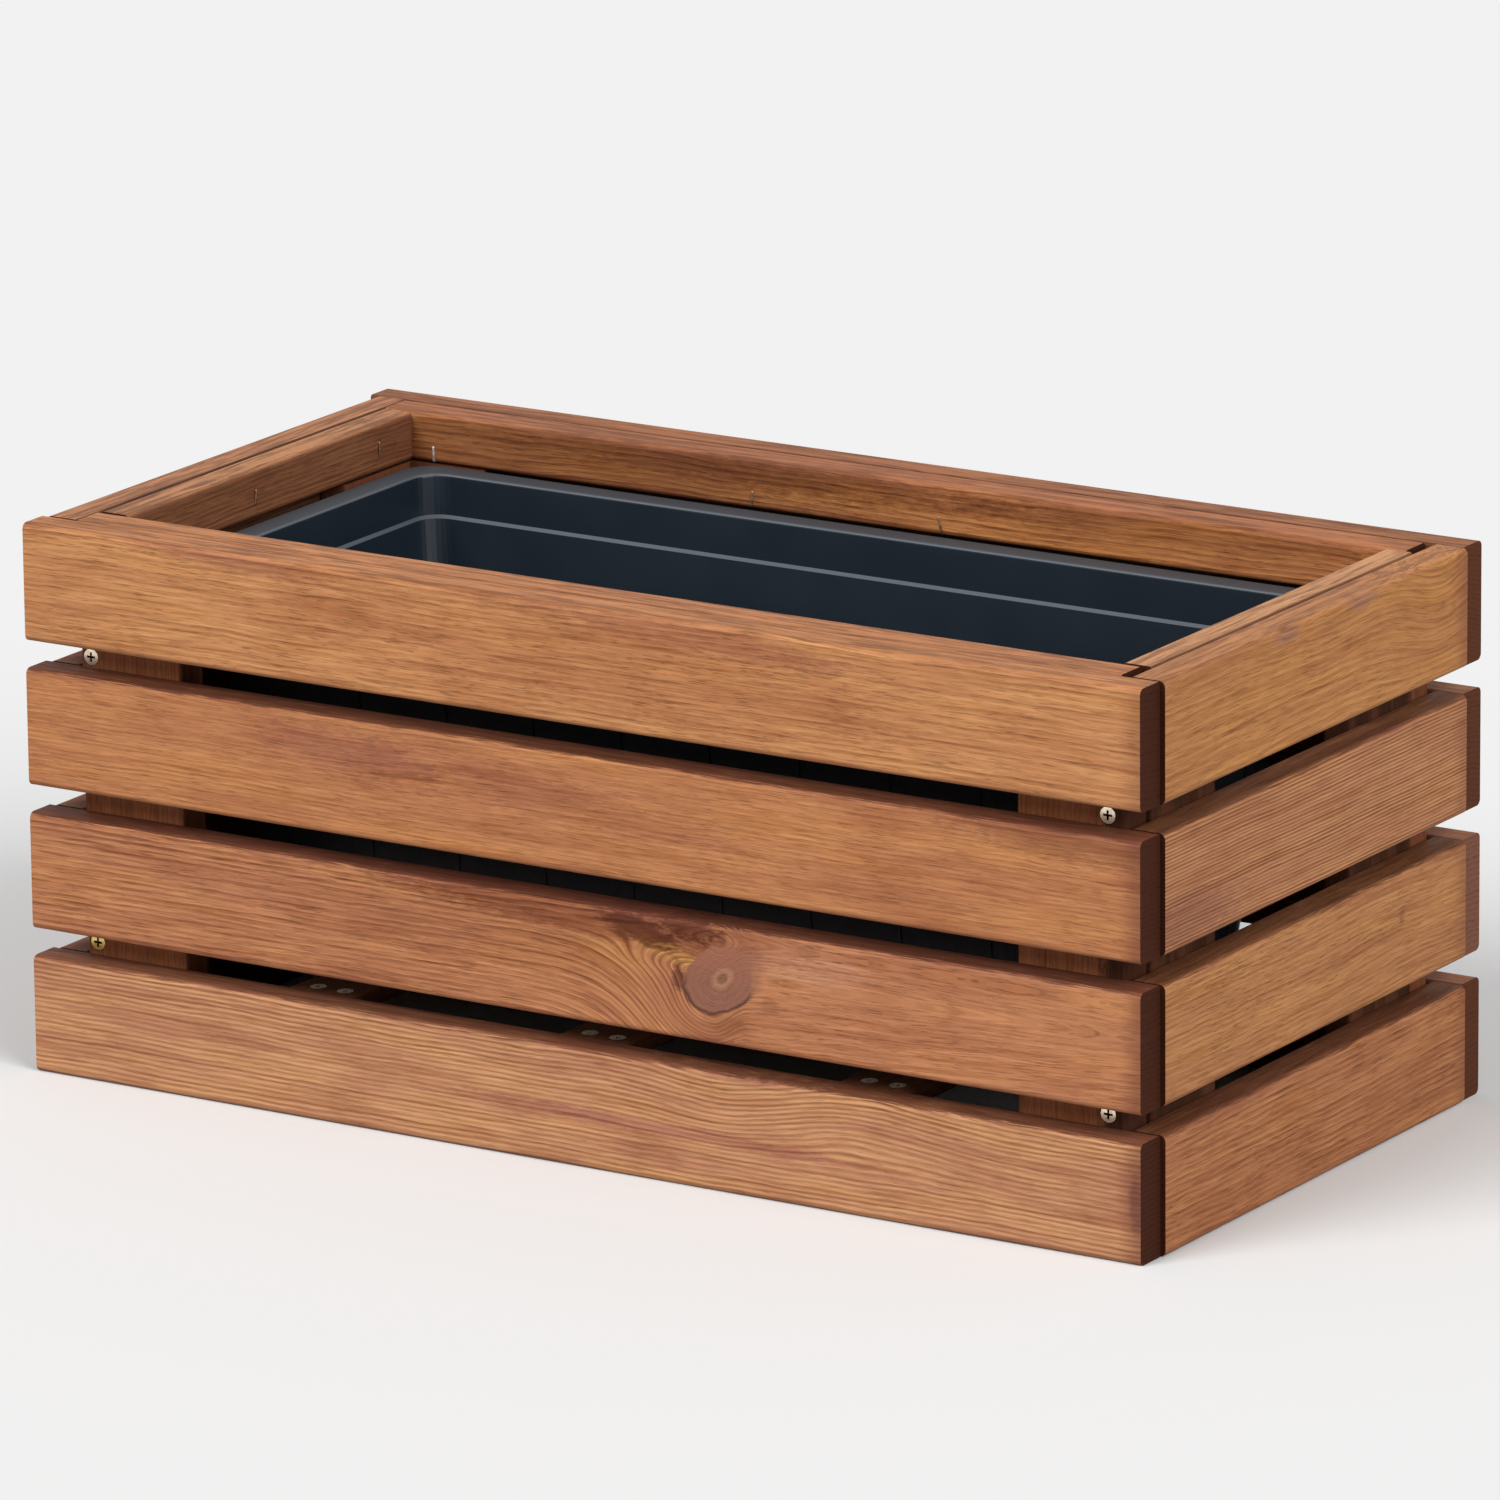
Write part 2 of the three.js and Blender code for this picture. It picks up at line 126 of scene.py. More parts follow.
# A knot's shape and its wood
KNOT_WOBBLE_SCALE = 0.12
KNOT_WOBBLE = 0.22
KNOT_RING_COUNT = 5.0
KNOT_WOOD = (144, 96, 78)
KNOT_RINGS = (120, 80, 64)
KNOT_UPPER_WOOD = (158, 102, 78)
KNOT_HEART = (172, 122, 95)
KNOT_DOT = (134, 92, 68)
KNOT_RIM = (62, 38, 30)

# Staples in the rails' inner faces, in mm: upright crowns of flat wire with legs that go into the wood
STAPLE_CROWN = 7.5
STAPLE_WIRE_WIDTH = 1.3
STAPLE_WIRE_DEPTH = 0.7
STAPLE_BEND = 0.9
STAPLE_LEG = 4.0
STAPLE_PROUD = 0.45
BACK_RAIL_STAPLES = ((-253.4, 245.6, 2.0), (-72.7, 246.0, -3.0), (31.2, 246.4, 14.0))
LEFT_RAIL_STAPLES = ((90.3, 252.5, 3.0), (-14.7, 251.5, -8.0))

# Plastic and metal, each as the two tones that it wavers between
# The liner's inner tones are painted shade, darker than its own outer tones
LINER_INNER_PAINTED_SHADE = ((15, 25, 35), (21, 31, 41))
LINER_OUTER = ((48, 55, 62), (58, 65, 72))
# Painted light on the liner's upward faces: a highlight on the rounded rim and step, a paler tone on the flat
# rim
LINER_RIM_PAINTED_LIGHT = ((71, 79, 87), (51, 57, 63))
STEEL = ((255, 240, 215), (238, 218, 190))
YELLOW_STEEL = ((232, 206, 128), (196, 166, 92))
BRIGHT_WIRE = ((206, 196, 184), (150, 134, 118))
DULL_WIRE = ((150, 116, 90), (92, 62, 44))
# Painted shade in the cross recess of a screw head
RECESS_PAINTED_SHADE = (52, 36, 26)
YELLOW_SCREWS = ("front_left_screw_lower", "back_left_screw_lower")
SCREW_METALLIC = 0.95
SCREW_ROUGHNESS = 0.1
WIRE_METALLIC = 0.5
WIRE_ROUGHNESS = 0.35

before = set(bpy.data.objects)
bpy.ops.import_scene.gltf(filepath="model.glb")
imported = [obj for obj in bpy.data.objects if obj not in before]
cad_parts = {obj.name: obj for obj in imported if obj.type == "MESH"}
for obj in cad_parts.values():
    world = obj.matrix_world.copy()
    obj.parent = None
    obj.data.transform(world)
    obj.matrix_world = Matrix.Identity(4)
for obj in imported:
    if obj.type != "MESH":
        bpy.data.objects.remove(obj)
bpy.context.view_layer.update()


def srgb(red, green, blue):
    """A colour read off a screen as 0 to 255, as the linear values that Blender's shaders take."""
    def linear(value):
        value /= 255
        return value / 12.92 if value <= 0.04045 else ((value + 0.055) / 1.055) ** 2.4
    return (linear(red), linear(green), linear(blue), 1.0)


def both(tones):
    """Two tones as 0 to 255, as linear values."""
    return [srgb(*tone) for tone in tones]


def shade(tone, shares):
    """A tone as 0 to 255 with each part multiplied by its share, as linear values."""
    return srgb(*(share * part for part, share in zip(tone, shares)))


class Nodes:
    """Short calls that add nodes to one material or world."""

    def __init__(self, tree):
        self.tree = tree

    def add(self, kind, inputs=None, **settings):
        node = self.tree.nodes.new(kind)
        for key, value in settings.items():
            setattr(node, key, value)
        for key, value in (inputs or {}).items():
            self.put(node.inputs[key], value)
        return node

    def put(self, socket, value):
        if isinstance(value, bpy.types.NodeSocket):
            self.tree.links.new(value, socket)
        else:
            socket.default_value = value

    def math(self, operation, a, b=0.0, c=0.0, clamp=False):
        node = self.add("ShaderNodeMath", {0: a, 1: b, 2: c}, operation=operation, use_clamp=clamp)
        return node.outputs[0]

    def times(self, a, b):
        return self.math("MULTIPLY", a, b)

    def minus(self, a, b):
        return self.math("SUBTRACT", a, b)

    def length(self, a, b):
        """The length of the vector (a, b)."""
        return self.math("SQRT", self.math("ADD", self.times(a, a), self.times(b, b)))

    def sway(self, noise, spread, base):
        """Base plus a noise from 0 to 1, centred on 0 and stretched to the spread."""
        return self.math("MULTIPLY_ADD", self.minus(noise, 0.5), spread, base)

    def ease(self, value, amount):
        """Value as a factor that falls no further below 1 than the amount."""
        return self.math("MULTIPLY_ADD", value, amount, 1 - amount)

    def step(self, value, low, high, to_low=0.0, to_high=1.0):
        """A smooth step of value from low to high."""
        inputs = {"Value": value, "From Min": low, "From Max": high, "To Min": to_low, "To Max": to_high}
        node = self.add("ShaderNodeMapRange", inputs, interpolation_type="SMOOTHSTEP")
        return node.outputs["Result"]

    def coordinates(self, kind):
        """X, Y and Z of the texture coordinates of that kind."""
        texture = self.add("ShaderNodeTexCoord").outputs[kind]
        return self.add("ShaderNodeSeparateXYZ", {0: texture}).outputs

    def noise(self, x, y, z, detail=2.0, roughness=0.5):
        place = self.add("ShaderNodeCombineXYZ", {0: x, 1: y, 2: z}).outputs[0]
        inputs = {"Vector": place, "Scale": 1.0, "Detail": detail, "Roughness": roughness}
        return self.add("ShaderNodeTexNoise", inputs).outputs["Fac"]

    def white(self, value):
        """A number from 0 to 1 of its own for each value."""
        node = self.add("ShaderNodeTexWhiteNoise", {"W": value}, noise_dimensions="1D")
        return node.outputs["Value"]

    def mix(self, factor, a, b, blend="MIX"):
        node = self.add("ShaderNodeMix", data_type="RGBA", blend_type=blend)
        self.put(node.inputs["Factor"], factor)
        self.put(node.inputs["A"], a)
        self.put(node.inputs["B"], b)
        return node.outputs["Result"]

    def bump(self, shader, height, strength, distance):
        """Gives the shader a bump from a height, with the distance in metres."""
        node = self.add("ShaderNodeBump", {"Strength": strength, "Distance": distance, "Height": height})
        self.put(shader.inputs["Normal"], node.outputs[0])

    def background_seen(self):
        """1 where the camera, a reflection or a see-through piece shows the background, else 0."""
        path = self.add("ShaderNodeLightPath").outputs
        direct = self.math("MAXIMUM", path["Is Camera Ray"], path["Is Transmission Ray"])
        return self.math("MAXIMUM", direct, path["Is Glossy Ray"])


def new_material(name):
    material = bpy.data.materials.new(name)
    material.use_nodes = True
    nodes = Nodes(material.node_tree)
    shader = material.node_tree.nodes["Principled BSDF"]
    return material, nodes, shader


def dress(node_name, material):
    """Gives a CAD node its material, in the slots that it has."""
    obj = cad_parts[node_name]
    obj.data.materials.clear()
    obj.data.materials.append(material)


# Timber. A board's own coordinates are in mm: u along it, v across its width, w out of its face.

def board_coordinates(nodes, node_name):
    """Sockets for u, v and w, the length axis, and half the board's length, width and thickness in mm."""
    low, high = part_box(node_name)
    size = high - low
    centre = (low + high) / 2
    order = sorted(range(3), key=lambda axis: -size[axis])
    place = nodes.coordinates("Object")
    sockets = []
    for rank, axis in enumerate(order):
        outward = -1.0 if rank == 2 and centre[axis] < 0 else 1.0
        scale = outward / MM
        sockets.append(nodes.math("MULTIPLY_ADD", place[axis], scale, -centre[axis] * scale))
    return sockets, order[0], [size[axis] / 2 / MM for axis in order]


def inward_faces(nodes):
    """1 on upright faces that look towards the middle of the box, 0 on all others."""
    place = nodes.coordinates("Object")
    facing = nodes.coordinates("Normal")
    outward = nodes.math("MULTIPLY_ADD", place[1], facing[1], nodes.times(place[0], facing[0]))
    return nodes.step(nodes.times(outward, -1.0), 0.01, 0.08)


def bell(nodes, value, centre, left, right):
    """A bump of height 1 at centre that fades over left on its low side and right on its high side."""
    away = nodes.minus(value, centre)
    on_right = nodes.math("GREATER_THAN", away, 0.0)
    reach = nodes.math("MULTIPLY_ADD", on_right, right - left, left)
    ratio = nodes.math("DIVIDE", away, reach)
    return nodes.math("EXPONENT", nodes.times(nodes.times(ratio, ratio), -1.0))


def oval(nodes, u, v, spot):
    """Distance from a spot's centre, 1 on its rim. A spot is (u, v, half length, half height, tilt)."""
    middle_u, middle_v, half_length, half_height, tilt = spot
    cosine = math.cos(math.radians(tilt))
    sine = math.sin(math.radians(tilt))
    away_u = nodes.minus(u, middle_u)
    away_v = nodes.minus(v, middle_v)
    along = nodes.math("ADD", nodes.times(away_u, cosine / half_length),
                       nodes.times(away_v, sine / half_length))
    across = nodes.minus(nodes.times(away_v, cosine / half_height), nodes.times(away_u, sine / half_height))
    return nodes.length(along, across)


def streak_noises(nodes, grain, shift):
    """The noises of STREAKS for one board, by name."""
    u, v, w = grain
    noises = {}
    for name, (length, width, offset, detail, roughness) in STREAKS.items():
        through = nodes.math("MULTIPLY_ADD", w, 1 / width, shift + offset)
        noises[name] = nodes.noise(nodes.times(u, 1 / length), nodes.times(v, 1 / width), through,
                                   detail, roughness)
    return noises


def grain_of(nodes, board, look, shift):
    """The board's coordinates as they would be if the grain didn't wander, bend or pass round a knot."""
    u, v, w = board
    slow_u = nodes.math("MULTIPLY_ADD", u, WANDER_SCALE[0], shift)
    slow_v = nodes.times(v, WANDER_SCALE[1])
    ripple_u = nodes.math("MULTIPLY_ADD", u, RIPPLE_SCALE[0], shift)
    ripple_v = nodes.times(v, RIPPLE_SCALE[1])
    # The third coordinate of each noise only keeps it unlike the others
    drift_across = nodes.noise(slow_u, slow_v, 1.5, detail=2.0)
    drift_through = nodes.noise(slow_u, slow_v, 7.5, detail=1.0)
    ripple = nodes.noise(ripple_u, ripple_v, 3.5)
    across = nodes.sway(drift_across, 2 * look["wander"], v)
    across = nodes.sway(ripple, look["ripple"], across)
    through = nodes.sway(drift_through, 2 * look["wander"], w)
    for centre, left, right, height, no_bend, full_bend in look["bends"]:
        hump = nodes.times(bell(nodes, u, centre, left, right), nodes.step(v, no_bend, full_bend))
        across = nodes.math("MULTIPLY_ADD", hump, height, across)
    for knot in look["knots"]:
        middle_u, middle_v = knot[:2]
        distance = oval(nodes, u, v, knot)
        beyond = nodes.step(u, middle_u - 6.0, middle_u + 14.0, 1.0, 0.25)
        squeeze = nodes.math("DIVIDE", beyond, nodes.math("MULTIPLY_ADD", distance, distance, 0.15))
        across = nodes.minus(across, nodes.times(nodes.minus(v, middle_v), squeeze))
    return u, across, through


def growth_rings(nodes, grain, noises, look):
    """Late wood from 0 to 1: dark lines, each of its own strength, that fade in and out along the grain."""
    pith_v, pith_w = look["pith"]
    radius = nodes.length(nodes.minus(grain[1], pith_v), nodes.minus(grain[2], pith_w))
    count = nodes.math("DIVIDE", radius, look["spacing"])
    count = nodes.math("MULTIPLY_ADD", noises["ring drift"], RING_DRIFT, count)
    ring = nodes.math("FRACT", count)
    peak = look["peak"]
    late = nodes.times(nodes.step(ring, 0.1, peak), nodes.step(ring, 1.0, peak + 0.05))
    strength = nodes.white(nodes.math("FLOOR", count))
    late = nodes.times(late, nodes.ease(strength, look["uneven"]))
    broken = nodes.step(noises["ring breaks"], 0.3, 0.62)
    return nodes.times(late, nodes.ease(broken, look["breaks"]))


def knot_colour(nodes, u, v, knot, colour, shift):
    """Lays a sound knot over the colour: dull purplish wood, a pale heart with a dark dot, a dark lower rim
    and an upper right side that melts into the wood around it."""
    middle_u, middle_v = knot[:2]
    wobble = nodes.noise(nodes.times(u, KNOT_WOBBLE_SCALE), nodes.times(v, KNOT_WOBBLE_SCALE), shift)
    distance = nodes.sway(wobble, KNOT_WOBBLE, oval(nodes, u, v, knot))
    ring = nodes.math("FRACT", nodes.times(distance, KNOT_RING_COUNT))
    wood = nodes.mix(nodes.times(nodes.step(ring, 0.3, 0.95), 0.3), srgb(*KNOT_WOOD), srgb(*KNOT_RINGS))
    upper = nodes.step(v, middle_v - 4.0, middle_v + 14.0)
    wood = nodes.mix(nodes.times(upper, 0.7), wood, srgb(*KNOT_UPPER_WOOD))
    wood = nodes.mix(nodes.step(distance, 0.38, 0.14), wood, srgb(*KNOT_HEART))
    wood = nodes.mix(nodes.step(distance, 0.2, 0.1), wood, srgb(*KNOT_DOT))
    lower = nodes.step(v, middle_v + 2.0, middle_v - 9.0)
    rim = nodes.times(nodes.step(distance, 0.86, 0.97), lower)
    wood = nodes.mix(nodes.times(rim, 0.75), wood, srgb(*KNOT_RIM))
    # Up and to the right the knot starts to melt sooner and is gone later
    upper_right = nodes.step(nodes.math("ADD", nodes.minus(u, middle_u), nodes.minus(v, middle_v)), 4.0, 22.0)
    melting = nodes.math("MULTIPLY_ADD", upper_right, -0.3, 0.97)
    gone = nodes.math("MULTIPLY_ADD", upper_right, 0.2, 1.04)
    cover = nodes.math("DIVIDE", nodes.minus(gone, distance), nodes.minus(gone, melting), clamp=True)
    return nodes.mix(cover, colour, wood)


def spot_colour(nodes, u, v, spot, tone, base, amount, colour, shift):
    """Tints a ragged patch so that wood of the base tone turns to the spot's tone and keeps its figure. Most
    spots are stains; a few are painted shade.
    """
    ragged = nodes.noise(nodes.math("MULTIPLY_ADD", u, SPOT_SCALE[0], shift), nodes.times(v, SPOT_SCALE[1]),
                         0.5, detail=4.0, roughness=0.65)
    distance = nodes.sway(ragged, SPOT_RAGGED, oval(nodes, u, v, spot))
    mask = nodes.times(nodes.step(distance, *SPOT_EDGE), amount)
    # The spot's share of each colour, which for the shade spots is painted shade
    stain = tuple(new / old for new, old in zip(srgb(*tone), srgb(*base)))
    return nodes.mix(mask, colour, stain, "MULTIPLY")


# The look of a board unless BOARD_LOOKS says otherwise. Lengths are in mm, colours are 0 to 255 and
# strengths are shares.
DEFAULT_LOOK = {
    # Growth rings: their middle as (v, w), their width, and where in a ring its late wood is darkest
    "pith": (-90.0, 8.0),
    "spacing": 2.6,
    "peak": 0.82,
    # How far the grain strays, how much rings fade along it and how much they differ
    "wander": 5.0,
    "ripple": 1.2,
    "breaks": 0.7,
    "uneven": 0.6,
    # Strengths of the rings, the fibres between them and the dark pores
    "rings": 0.7,
    "fibres": 0.4,
    "pores": 0.45,
    "tone": (168, 112, 76),
    "stain": (150, 92, 66),
    "stain_amount": 0.4,
    # Upward faces, in their own tone and, on the lower boards, in painted shade under the board above; the
    # upper arris, darkened as stain and as painted shade; painted shade on the faces inside the box; and
    # painted shade in the joint with the next piece, which is on the board's outer side where the seam is
    # above 0
    "top_tone_and_shade": (150, 100, 72),
    "top_amount": 0.0,
    "crest": 0.2,
    "inside": 0.55,
    "seam": 0.0,
    "end_grain": (58, 26, 11),
    "end_tint": 0.4,
    # A bend is (u, reach to the left, reach to the right, height, v without a bend, v with the full bend)
    "bends": (),
    # A knot is (u, v, half length, half height, tilt)
    "knots": (),
    # A spot is ((u, v, half length, half height, tilt), tone, amount)
    "spots": (),
}


def long_grain(nodes, board, noises, late, pores, look, shift):
    """The colour of a board's long grain, with its stains, pores, spots and knots."""
    u, v = board[:2]
    calm = look["rings"]
    for knot in look["knots"]:
        calm = nodes.times(nodes.step(u, knot[0] - 10.0, knot[0] + 25.0, 1.0, 0.3), calm)
    fibres = nodes.step(noises["fibre"], 0.28, 0.75)
    figure = nodes.math("MULTIPLY_ADD", fibres, look["fibres"], nodes.times(late, calm), clamp=True)
    colour = nodes.mix(figure, shade(look["tone"], EARLY_WOOD), shade(look["tone"], LATE_WOOD))
    stained = nodes.times(nodes.step(noises["cloud"], 0.4, 0.68), look["stain_amount"])
    colour = nodes.mix(stained, colour, nodes.mix(0.75, colour, srgb(*look["stain"])))
    for name, start, full, amount, tint in TINTS:
        reach = nodes.step(noises[name], start, full)
        colour = nodes.mix(nodes.times(reach, amount), colour, tint, "MULTIPLY")
    crowd = nodes.step(noises["blotch"], 0.42, 0.6, 0.35, 1.0)
    dark = nodes.times(pores, nodes.times(crowd, look["pores"]))
    colour = nodes.mix(dark, colour, shade(look["tone"], PORE_WOOD))
    for spot, tone, amount in look["spots"]:
        colour = spot_colour(nodes, u, v, spot, tone, look["tone"], amount, colour, shift)
    for knot in look["knots"]:
        colour = knot_colour(nodes, u, v, knot, colour, shift)
    return colour


def weathering_and_painted_shade(nodes, board, half_size, facing, noises, look, colour):
    """Lays over the colour the tone of top faces, with painted shade on those of the lower boards, arrises
    darkened as stain and as painted shade, stained ends, and the painted shade of seams and of faces inside
    the box.
    """
    u, v, w = board
    half_length, half_width, half_thickness = half_size
    fibre = noises["fibre"]
    # Upward faces take the top tone; on the lower boards it is painted shade under the board above
    upward = nodes.step(nodes.sway(fibre, TOP_RAGGED, facing[2]), 0.45, 0.9)
    streaked = nodes.step(nodes.math("ADD", noises["band"], fibre), 0.86, 1.16)
    top = nodes.mix(streaked, shade(look["top_tone_and_shade"], TOP_PALE), shade(look["top_tone_and_shade"], TOP_DEEP))
    colour = nodes.mix(nodes.times(upward, look["top_amount"]), colour, top)

    # Edges and ends darken as stain; the upper arris darkens as stain and as painted shade under the board
    # above
    rough_edge = nodes.sway(noises["cloud"], ROUGH_EDGE, 0.0)
    to_edge = nodes.math("ADD", nodes.math("ABSOLUTE", v), rough_edge)
    edge = nodes.times(nodes.step(to_edge, half_width - EDGE_REACH, half_width), EDGE_AMOUNT)
    to_crest = nodes.sway(fibre, ROUGH_CREST, nodes.math("ADD", v, rough_edge))
    crest = nodes.step(to_crest, *(half_width - reach for reach in CREST_REACH))
    to_end = nodes.math("ADD", u, rough_edge)
    end = nodes.step(to_end, half_length - END_REACH, half_length)
    marks_and_painted_light = nodes.math("MAXIMUM", edge, nodes.times(crest, look["crest"]))
    marks_and_painted_light = nodes.math("MAXIMUM", marks_and_painted_light, nodes.times(end, look["end_tint"]))
    colour = nodes.mix(marks_and_painted_light, colour, srgb(*STAIN_AND_SHADE_TONE))

    # Painted shade in the groove of the joint with the next piece
    if look["seam"]:
        side = nodes.times(w, math.copysign(1.0, look["seam"]))
        beside = nodes.step(side, *(half_thickness - depth for depth in SEAM_DEPTH))
        seam = nodes.times(beside, nodes.step(v, *(half_width - drop for drop in SEAM_DROP)))
        colour = nodes.mix(nodes.times(seam, abs(look["seam"])), colour, srgb(*SEAM_PAINTED_SHADE))
    # Painted shade on the faces inside the box
    inside = nodes.times(inward_faces(nodes), look["inside"])
    return nodes.mix(inside, colour, INSIDE_PAINTED_SHADE, "MULTIPLY")


def end_grain(nodes, board, late, look, shift):
    """The colour of a sawn end, which drinks the stain."""
    v, w = board[1:]
    speck = nodes.noise(nodes.times(v, 1.3), nodes.times(w, 1.3), shift, detail=3.0)
    depth = nodes.math("MULTIPLY_ADD", late, 0.4, nodes.times(speck, 0.6))
    return nodes.mix(depth, shade(look["end_grain"], END_PALE), shade(look["end_grain"], END_DEEP))


def timber(node_name, seed, **changes):
    """The material of one board, with its own rings, stain, knots and marks."""
    look = {**DEFAULT_LOOK, **changes}
    material, nodes, shader = new_material("timber_" + node_name)
    board, length_axis, half_size = board_coordinates(nodes, node_name)
    shift = seed * SEED_SHIFT
    grain = grain_of(nodes, board, look, shift)
    noises = streak_noises(nodes, grain, shift)
    late = growth_rings(nodes, grain, noises, look)
    pores = nodes.step(noises["pores"], 0.6, 0.68)
    facing = nodes.coordinates("Normal")
    end_face = nodes.step(nodes.math("ABSOLUTE", facing[length_axis]), 0.55, 0.8)

    colour = long_grain(nodes, board, noises, late, pores, look, shift)
    colour = weathering_and_painted_shade(nodes, board, half_size, facing, noises, look, colour)
    cut = end_grain(nodes, board, late, look, shift)
    nodes.put(shader.inputs["Base Color"], nodes.mix(end_face, colour, cut))

    rough = nodes.math("MULTIPLY_ADD", noises["fibre"], FIBRE_ROUGHNESS, TIMBER_ROUGHNESS)
    nodes.put(shader.inputs["Roughness"], nodes.math("MULTIPLY_ADD", end_face, END_ROUGHNESS, rough))
    shader.inputs["Specular IOR Level"].default_value = TIMBER_SPECULAR
    height = nodes.math("MULTIPLY_ADD", late, RING_RELIEF, nodes.times(noises["fibre"], FIBRE_RELIEF))
    height = nodes.math("MULTIPLY_ADD", pores, PORE_RELIEF, height)
    nodes.bump(shader, height, *TIMBER_BUMP)
    dress(node_name, material)


